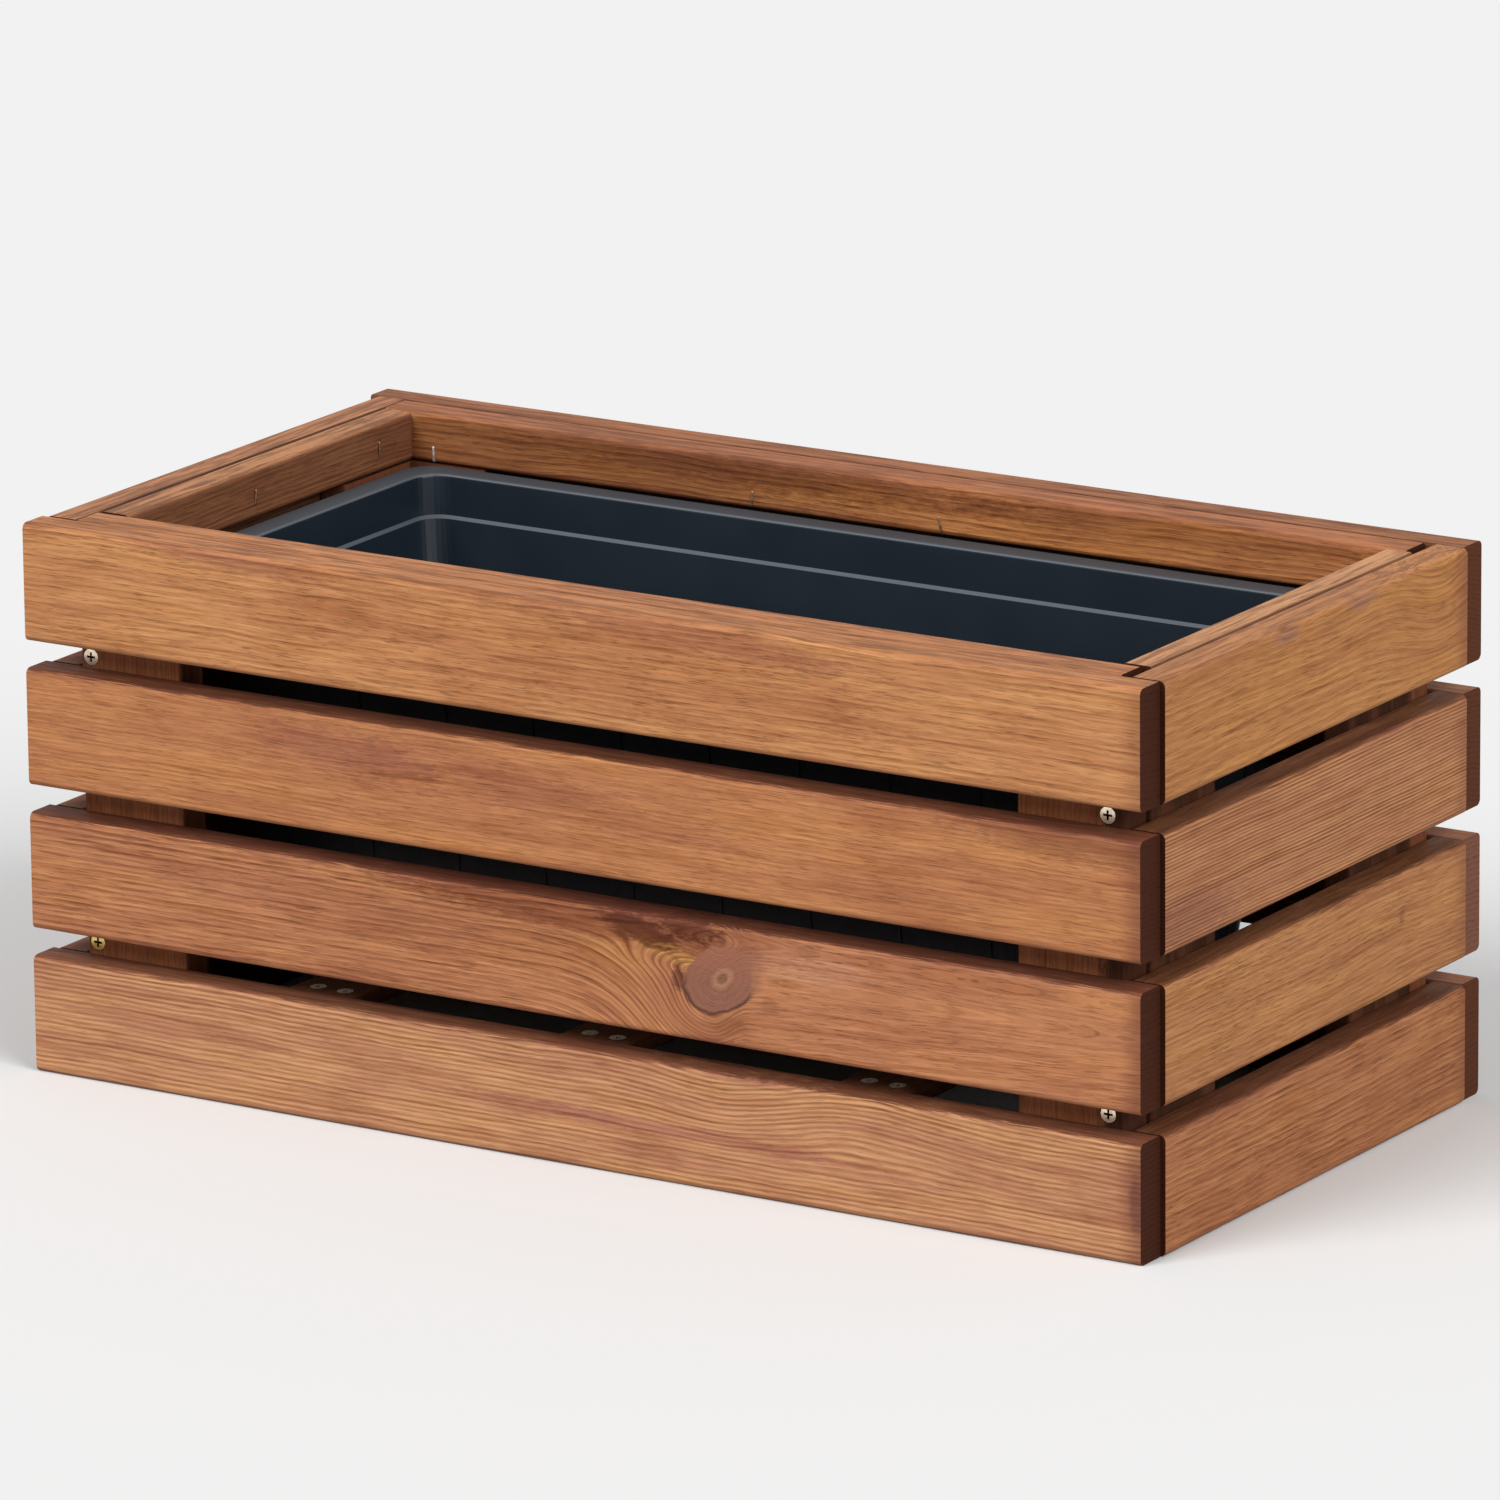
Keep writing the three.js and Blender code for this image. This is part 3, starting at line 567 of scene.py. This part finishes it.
# What the photograph shows of single boards. Places are u and v in mm, colours are 0 to 255.
BOARD_LOOKS = {
    "front_board_1": {
        "pith": (-190.0, 20.0), "spacing": 2.9, "rings": 0.5, "fibres": 0.36, "pores": 0.5, "wander": 3.0,
        "tone": (187, 130, 84), "stain": (160, 96, 58), "stain_amount": 0.5,
        "top_tone_and_shade": (184, 126, 80), "top_amount": 0.7, "crest": 0.0, "seam": -0.2,
        "spots": (((20.0, 4.0, 170.0, 24.0, -2.0), (160, 100, 64), 0.4),
                  ((-196.0, 27.0, 60.0, 6.0, -4.0), (150, 92, 72), 0.5),
                  ((60.0, 22.0, 90.0, 7.0, -3.0), (156, 98, 74), 0.45)),
    },
    # The dark top tones of this and the lower front boards are painted shade under the board above
    "front_board_2": {
        "pith": (-210.0, 10.0), "spacing": 2.3, "rings": 0.35, "fibres": 0.36, "pores": 0.35, "wander": 3.0,
        "tone": (178, 119, 76), "stain": (156, 94, 66), "stain_amount": 0.5,
        "top_tone_and_shade": (78, 44, 27), "top_amount": 0.92, "crest": 0.35, "end_tint": 0.6,
        "spots": (((-122.0, 11.0, 50.0, 12.0, -4.0), (140, 84, 70), 0.45),
                  ((-60.0, 12.0, 95.0, 10.0, -3.0), (150, 90, 66), 0.35),
                  ((0.0, 3.0, 110.0, 10.0, -3.0), (152, 94, 66), 0.5),
                  ((190.0, -6.0, 60.0, 12.0, 4.0), (156, 98, 68), 0.4),
                  ((270.0, 26.0, 70.0, 12.0, 0.0), (116, 66, 46), 0.5)),
    },
    "front_board_3": {
        "pith": (-180.0, 5.0), "spacing": 2.7, "rings": 0.72, "fibres": 0.42, "pores": 0.45,
        "wander": 2.0, "uneven": 0.5,
        "tone": (178, 119, 80), "stain": (152, 92, 70), "stain_amount": 0.45,
        "top_tone_and_shade": (70, 38, 25), "top_amount": 0.93, "crest": 0.35, "end_tint": 0.6,
        "bends": ((82.0, 48.0, 420.0, 36.0, 24.0, 4.0),),
        "knots": ((81.7, 3.4, 22.5, 15.0, 32.0),),
        "spots": (((-40.0, 8.0, 90.0, 18.0, 0.0), (152, 94, 60), 0.4),
                  ((-10.0, 24.0, 110.0, 10.0, -4.0), (122, 64, 40), 0.65),
                  ((126.0, 14.0, 34.0, 10.0, 0.0), (192, 138, 104), 0.5),
                  ((38.0, 20.5, 22.0, 7.0, -14.0), (92, 45, 26), 0.8),
                  ((66.0, 24.0, 18.0, 6.0, -8.0), (96, 48, 28), 0.8),
                  ((28.0, 7.0, 28.0, 7.0, -8.0), (196, 140, 84), 0.4),
                  ((52.0, 12.4, 18.0, 4.6, -12.0), (198, 148, 78), 0.7),
                  ((58.6, 0.8, 4.0, 6.5, 0.0), (104, 56, 42), 0.8),
                  ((84.0, -18.0, 12.0, 5.0, 0.0), (150, 96, 62), 0.5),
                  ((107.0, -6.0, 5.0, 5.0, 30.0), (134, 80, 54), 0.45)),
    },
    "front_board_4": {
        "pith": (-160.0, 0.0), "spacing": 2.4, "rings": 0.66, "fibres": 0.22, "pores": 0.2,
        "wander": 3.0, "peak": 0.62, "breaks": 0.25, "uneven": 0.4,
        "tone": (188, 135, 95), "stain": (152, 90, 72), "stain_amount": 0.6,
        "top_tone_and_shade": (100, 60, 40), "top_amount": 0.88, "crest": 0.2, "end_tint": 0.6,
        "bends": ((150.0, 34.0, 60.0, -6.5, -14.0, 10.0), (78.0, 32.0, 30.0, 4.0, -14.0, 10.0)),
        "spots": (((298.0, 0.0, 4.0, 14.0, 0.0), (104, 82, 72), 0.7),
                  ((60.0, -3.0, 120.0, 3.4, -1.0), (150, 88, 76), 0.5)),
    },
    "right_board_1": {
        "pith": (-60.0, -40.0), "spacing": 2.8, "rings": 0.5, "pores": 0.4,
        "tone": (172, 117, 67), "stain_amount": 0.3, "top_tone_and_shade": (176, 124, 82), "top_amount": 0.6,
        "crest": 0.0, "seam": -0.75,
        "bends": ((112.0, 30.0, 30.0, 9.0, -28.0, 0.0),),
        "spots": (((-28.0, 25.0, 12.0, 4.0, 0.0), (140, 98, 88), 0.6),
                  ((40.0, 25.5, 14.0, 3.4, 0.0), (146, 104, 90), 0.6),
                  ((134.0, 14.0, 12.0, 15.0, 0.0), (136, 80, 52), 0.4)),
    },
    # The dark top tones of this and the lower right boards are painted shade under the board above
    "right_board_2": {
        "pith": (-330.0, 0.0), "spacing": 1.7, "rings": 0.9, "breaks": 0.15, "uneven": 0.4, "fibres": 0.2,
        "pores": 0.2, "peak": 0.7, "wander": 2.0, "ripple": 0.6,
        "tone": (172, 119, 80), "top_tone_and_shade": (92, 58, 36), "top_amount": 0.8,
        "spots": (((-120.0, -16.0, 50.0, 12.0, 0.0), (124, 76, 62), 0.5),),
    },
    "right_board_3": {
        "pith": (-110.0, 5.0), "spacing": 2.6, "rings": 0.5, "pores": 0.5,
        "tone": (170, 117, 72), "top_tone_and_shade": (92, 58, 34), "top_amount": 0.8,
        "spots": (((77.0, 7.0, 2.6, 4.0, 0.0), (132, 84, 54), 0.6),),
    },
    "right_board_4": {
        "pith": (-100.0, 0.0), "spacing": 2.8, "rings": 0.7, "pores": 0.5,
        "tone": (164, 108, 69), "top_tone_and_shade": (86, 53, 32), "top_amount": 0.8,
    },
    "right_top_rail": {
        "tone": (184, 134, 92), "top_tone_and_shade": (198, 148, 104), "top_amount": 0.6, "crest": 0.0, "seam": 0.75,
    },
    "left_top_rail": {
        "tone": (120, 77, 50), "stain": (84, 50, 32), "top_tone_and_shade": (184, 132, 90), "top_amount": 0.8,
        "crest": 0.0, "seam": 0.35,
        "spots": (((90.3, -0.5, 1.4, 4.6, 0.0), (58, 30, 14), 0.9),
                  ((-14.7, -1.5, 1.6, 4.6, 0.0), (66, 36, 20), 0.8)),
    },
    "left_board_1": {
        "tone": (164, 112, 78), "top_tone_and_shade": (174, 122, 84), "top_amount": 0.7, "crest": 0.0, "seam": -0.35,
    },
    "back_board_1": {
        "tone": (152, 102, 70), "top_tone_and_shade": (146, 96, 62), "top_amount": 0.8, "crest": 0.0, "seam": -0.2,
    },
    "back_board_3": {"end_grain": (112, 74, 58)},
    "front_top_rail": {"top_tone_and_shade": (184, 126, 80), "top_amount": 0.7, "crest": 0.0, "seam": 0.2},
    # Painted shadow of the corner on the batten's right part
    "front_right_batten": {"spots": (((0.0, 27.0, 400.0, 12.0, 0.0), (34, 20, 11), 0.85),)},
    "back_top_rail": {
        "tone": (176, 115, 66), "rings": 0.8, "spacing": 2.9, "top_tone_and_shade": (164, 107, 72), "top_amount": 0.7,
        "crest": 0.0, "seam": 0.2,
        # The first spot is painted shade on the rail's left part
        "spots": (((-190.0, 0.0, 190.0, 30.0, 0.0), (120, 74, 42), 0.6),
                  ((-60.0, 6.0, 150.0, 8.0, 0.0), (128, 72, 40), 0.6),
                  ((150.0, 6.0, 110.0, 8.0, 1.0), (132, 76, 42), 0.5)),
    },
}
BATTEN_LOOK = {"tone": (148, 90, 56), "rings": 0.3, "crest": 0.0}
SHADED_BATTENS = ("right_front_batten", "right_back_batten")
SHADED_TONE = (66, 39, 23)
FLOOR_LOOK = {"tone": (126, 80, 54), "rings": 0.6}
BACK_END_GRAIN = (80, 44, 26)
LEFT_BOARDS_PAINTED_SHADE = 0.8
WOOD_WORDS = ("board", "rail", "batten", "ledger", "slat_")


def dress_timber():
    """Every wooden node, the named boards by their own looks and the rest by turns."""
    for place, node_name in enumerate(sorted(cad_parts)):
        if "screw" in node_name or not any(word in node_name for word in WOOD_WORDS):
            continue
        look = {"pith": (-70.0 - 13.0 * (place % 6), -20.0 + 9.0 * (place % 5)),
                "spacing": 2.2 + 0.2 * (place % 4)}
        if "batten" in node_name:
            look.update(BATTEN_LOOK)
            if node_name in SHADED_BATTENS:
                look["tone"] = SHADED_TONE
        if "ledger" in node_name or "slat_" in node_name:
            look.update(FLOOR_LOOK)
        # Rails get no painted shade on their inner faces, and the left boards get a deeper one
        if "rail" in node_name:
            look["inside"] = 0.0
        if "left_board" in node_name:
            look["inside"] = LEFT_BOARDS_PAINTED_SHADE
        if "back_board" in node_name:
            look["end_grain"] = BACK_END_GRAIN
        look.update(BOARD_LOOKS.get(node_name, {}))
        timber(node_name, place + 1, **look)


def liner_material():
    """Moulded plastic: painted shade inside, its own paler tone outside, and painted light on the rim and the
    step.
    """
    material, nodes, shader = new_material("liner_plastic")
    place = nodes.coordinates("Object")
    in_mm = [nodes.times(part, 1 / MM) for part in place]
    cloud = nodes.noise(*[nodes.times(part, 0.02) for part in in_mm], detail=3.0)
    grain = nodes.noise(*[nodes.times(part, 1.8) for part in in_mm], detail=2.0)
    painted_shade_inner = nodes.mix(cloud, *both(LINER_INNER_PAINTED_SHADE))
    outer = nodes.mix(cloud, *both(LINER_OUTER))
    # Painted shade: faces inside the box take the darker inner tones
    colour = nodes.mix(inward_faces(nodes), outer, painted_shade_inner)
    rise = nodes.coordinates("Normal")[2]
    # Painted light on upward faces: the paler highlight on rounded ones, the rim tone on flat ones
    marks_and_painted_light = nodes.mix(nodes.step(rise, 0.93, 0.985), *both(LINER_RIM_PAINTED_LIGHT))
    # The painted highlight leaves out the liner's floor and the rim's outer roll
    above_floor = nodes.step(place[2], LINER_FLOOR_TOP, LINER_FLOOR_TOP + 0.01)
    painted_highlight = nodes.times(nodes.step(rise, 0.35, 0.6), above_floor)
    low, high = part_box("liner")
    for axis in (0, 1):
        away = nodes.math("ABSOLUTE", nodes.minus(place[axis], (low[axis] + high[axis]) / 2))
        edge = (high[axis] - low[axis]) / 2
        painted_highlight = nodes.times(painted_highlight, nodes.step(away, edge - RIM_ROLL, edge - 2 * RIM_ROLL))
    nodes.put(shader.inputs["Base Color"], nodes.mix(nodes.times(painted_highlight, 0.8), colour, marks_and_painted_light))
    rough = nodes.math("MULTIPLY_ADD", cloud, 0.12, 0.3)
    nodes.put(shader.inputs["Roughness"], nodes.math("MULTIPLY_ADD", painted_highlight, 0.15, rough))
    nodes.bump(shader, grain, *LINER_BUMP)
    dress("liner", material)


def metal_material(name, tones, metallic, roughness, head=None):
    """Worn metal of two tones. A head is (axis, plane in m, way out along the axis): behind it the
    recess gets painted shade."""
    material, nodes, shader = new_material(name)
    place = nodes.coordinates("Object")
    wear = nodes.noise(*[nodes.times(part, 0.5 / MM) for part in place], detail=3.0)
    colour = nodes.mix(nodes.step(wear, 0.4, 0.7), *both(tones))
    if head:
        axis, plane, outward = head
        depth = nodes.times(nodes.minus(plane, place[axis]), outward / MM)
        # Painted shade in the recess behind the head
        colour = nodes.mix(nodes.step(depth, 0.15, 0.6), colour, srgb(*RECESS_PAINTED_SHADE))
    nodes.put(shader.inputs["Base Color"], colour)
    nodes.put(shader.inputs["Roughness"], nodes.math("MULTIPLY_ADD", wear, 0.25, roughness))
    shader.inputs["Metallic"].default_value = metallic
    nodes.bump(shader, wear, *METAL_BUMP)
    return material


def head_of(node_name):
    """The axis that a screw points along, the plane of its head and the way out of the wood."""
    low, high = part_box(node_name)
    if node_name.startswith("slat"):
        return 2, high[2], 1.0
    if node_name.startswith("front"):
        return 1, low[1], -1.0
    return 1, high[1], 1.0


def dress_screws():
    """Every screw. Those of one wall or of the slats share a material, and two are yellow."""
    made = {}
    for node_name in sorted(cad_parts):
        if "screw" not in node_name:
            continue
        group = node_name.split("_")[0]
        colour_name = "yellow" if node_name in YELLOW_SCREWS else "steel"
        key = f"screw_{group}_{colour_name}"
        if key not in made:
            tones = YELLOW_STEEL if node_name in YELLOW_SCREWS else STEEL
            metallic = 0.0 if group == "slat" else SCREW_METALLIC
            made[key] = metal_material(key, tones, metallic, SCREW_ROUGHNESS, head_of(node_name))
        dress(node_name, made[key])


# Staples

def staple_path(steps=5):
    """The wire's middle line as (along the crown, out of the wood), from one leg's end to the other's."""
    half = STAPLE_CROWN / 2
    out = STAPLE_PROUD - STAPLE_WIRE_DEPTH / 2
    side = [(-half, -STAPLE_LEG)]
    for k in range(steps + 1):
        turn = math.pi / 2 * k / steps
        side.append((-half + STAPLE_BEND * (1 - math.cos(turn)), out - STAPLE_BEND * (1 - math.sin(turn))))
    return side + [(-along, outward) for along, outward in reversed(side)]


def staple_mesh(name, sides=8):
    """Sweeps a flattened round section along the staple's line: X across, Y out of the wood, Z along."""
    path = [Vector((0.0, outward, along)) for along, outward in staple_path()]
    vertices = []
    for k, point in enumerate(path):
        tangent = (path[min(k + 1, len(path) - 1)] - path[max(k - 1, 0)]).normalized()
        normal = Vector((1.0, 0.0, 0.0)).cross(tangent)
        for side in range(sides):
            turn = 2 * math.pi * (side + 0.5) / sides
            across = math.cos(turn) * STAPLE_WIRE_WIDTH / 2
            through = math.sin(turn) * STAPLE_WIRE_DEPTH / 2
            vertices.append((point + Vector((across, 0.0, 0.0)) + normal * through) * MM)
    faces = [tuple(range(sides)), tuple(reversed(range(len(vertices) - sides, len(vertices))))]
    for ring in range(len(path) - 1):
        for side in range(sides):
            low = ring * sides + side
            beside = ring * sides + (side + 1) % sides
            faces.append((low, low + sides, beside + sides, beside))
    mesh = bpy.data.meshes.new(name)
    mesh.from_pydata(vertices, [], faces)
    mesh.update()
    return mesh


def add_staple(name, place, outward, tilt, material):
    """A staple at a place in mm, whose crown faces along outward and leans by tilt degrees."""
    obj = bpy.data.objects.new(name, staple_mesh(name))
    bpy.context.collection.objects.link(obj)
    outward = Vector(outward)
    upright = Vector((0.0, 0.0, 1.0))
    facing = Matrix((outward.cross(upright), outward, upright)).transposed().to_4x4()
    lean = Matrix.Rotation(math.radians(tilt), 4, "Y")
    obj.matrix_world = Matrix.Translation(Vector(place) * MM) @ facing @ lean
    obj.data.materials.append(material)
    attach(obj, "crate")


def add_staples():
    bright_wire = metal_material("staple_wire_bright", BRIGHT_WIRE, WIRE_METALLIC, WIRE_ROUGHNESS)
    dull_wire = metal_material("staple_wire_dull", DULL_WIRE, WIRE_METALLIC, WIRE_ROUGHNESS)
    back_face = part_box("back_top_rail")[0][1] / MM
    left_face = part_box("left_top_rail")[1][0] / MM
    for k, (x, z, tilt) in enumerate(BACK_RAIL_STAPLES):
        wire = dull_wire if k else bright_wire
        add_staple(f"back_staple_{k + 1}", (x, back_face, z), (0.0, -1.0, 0.0), tilt, wire)
    for k, (y, z, tilt) in enumerate(LEFT_RAIL_STAPLES):
        add_staple(f"left_staple_{k + 1}", (left_face, y, z), (1.0, 0.0, 0.0), tilt, dull_wire)


# Camera, light and floor

def direction(azimuth, elevation):
    """The way from the box to an azimuth and elevation in degrees: azimuth 0 is in front, 90 on the right."""
    turn = math.radians(azimuth)
    rise = math.radians(elevation)
    return Vector((math.sin(turn) * math.cos(rise), -math.cos(turn) * math.cos(rise), math.sin(rise)))


def add_camera():
    back = direction(CAMERA_AZIMUTH, CAMERA_ELEVATION)
    azimuth = math.radians(CAMERA_AZIMUTH)
    level = Vector((math.cos(azimuth), math.sin(azimuth), 0.0))
    upright = back.cross(level)
    right = math.cos(CAMERA_ROLL) * level + math.sin(CAMERA_ROLL) * upright
    up = math.cos(CAMERA_ROLL) * upright - math.sin(CAMERA_ROLL) * level
    eye = AIM_RIGHT * level + Vector((BOX_SHIFT, 0.0, AIM_HEIGHT)) + back * CAMERA_DISTANCE
    data = bpy.data.cameras.new("camera")
    data.sensor_width = SENSOR_WIDTH
    data.lens = CAMERA_FOCAL_PIXELS / PHOTO_PIXELS * SENSOR_WIDTH
    camera = bpy.data.objects.new("camera", data)
    turn = Matrix((right, up, back)).transposed().to_4x4()
    camera.matrix_world = Matrix.Translation(eye) @ turn
    bpy.context.collection.objects.link(camera)
    bpy.context.scene.camera = camera


def add_sun(name, azimuth, elevation, strength, softness):
    """A sun whose light comes from that azimuth and elevation. The angles are in degrees."""
    data = bpy.data.lights.new(name, "SUN")
    data.energy = strength
    data.angle = math.radians(softness)
    sun = bpy.data.objects.new(name, data)
    source = direction(azimuth, elevation)
    sun.location = SUN_DISTANCE * source
    sun.rotation_euler = source.to_track_quat("Z", "Y").to_euler()
    bpy.context.collection.objects.link(sun)


def add_world():
    """Even light on the object, and the plain background where it shows."""
    world = bpy.data.worlds.new("world")
    bpy.context.scene.world = world
    world.use_nodes = True
    nodes = Nodes(world.node_tree)
    world.node_tree.nodes.clear()
    lit = nodes.add("ShaderNodeBackground", {"Color": (1.0, 1.0, 1.0, 1.0), "Strength": WORLD_STRENGTH})
    shown = nodes.add("ShaderNodeBackground", {"Color": BACKGROUND, "Strength": 1.0})
    either = nodes.add("ShaderNodeMixShader", {0: nodes.background_seen(), 1: lit.outputs[0],
                                               2: shown.outputs[0]})
    nodes.add("ShaderNodeOutputWorld", {"Surface": either.outputs[0]})


def add_floor():
    mesh = bpy.data.meshes.new("floor")
    turns = ((-1, -1), (1, -1), (1, 1), (-1, 1))
    corners = [(FLOOR_HALF * x, FLOOR_HALF * y, 0.0) for x, y in turns]
    mesh.from_pydata(corners, [], [(0, 1, 2, 3)])
    floor = bpy.data.objects.new("floor", mesh)
    bpy.context.collection.objects.link(floor)
    material, nodes, shader = new_material("floor")
    nodes.put(shader.inputs["Base Color"], nodes.mix(nodes.background_seen(), FLOOR_BOUNCE, FLOOR_SEEN))
    shader.inputs["Roughness"].default_value = 1.0
    shader.inputs["Specular IOR Level"].default_value = 0.0
    mesh.materials.append(material)


dress_timber()
liner_material()
dress_screws()
add_staples()
add_camera()
add_world()
add_floor()
add_sun("key", *KEY_SUN)
add_sun("fill", *FILL_SUN)
bpy.context.scene.view_settings.view_transform = "Standard"
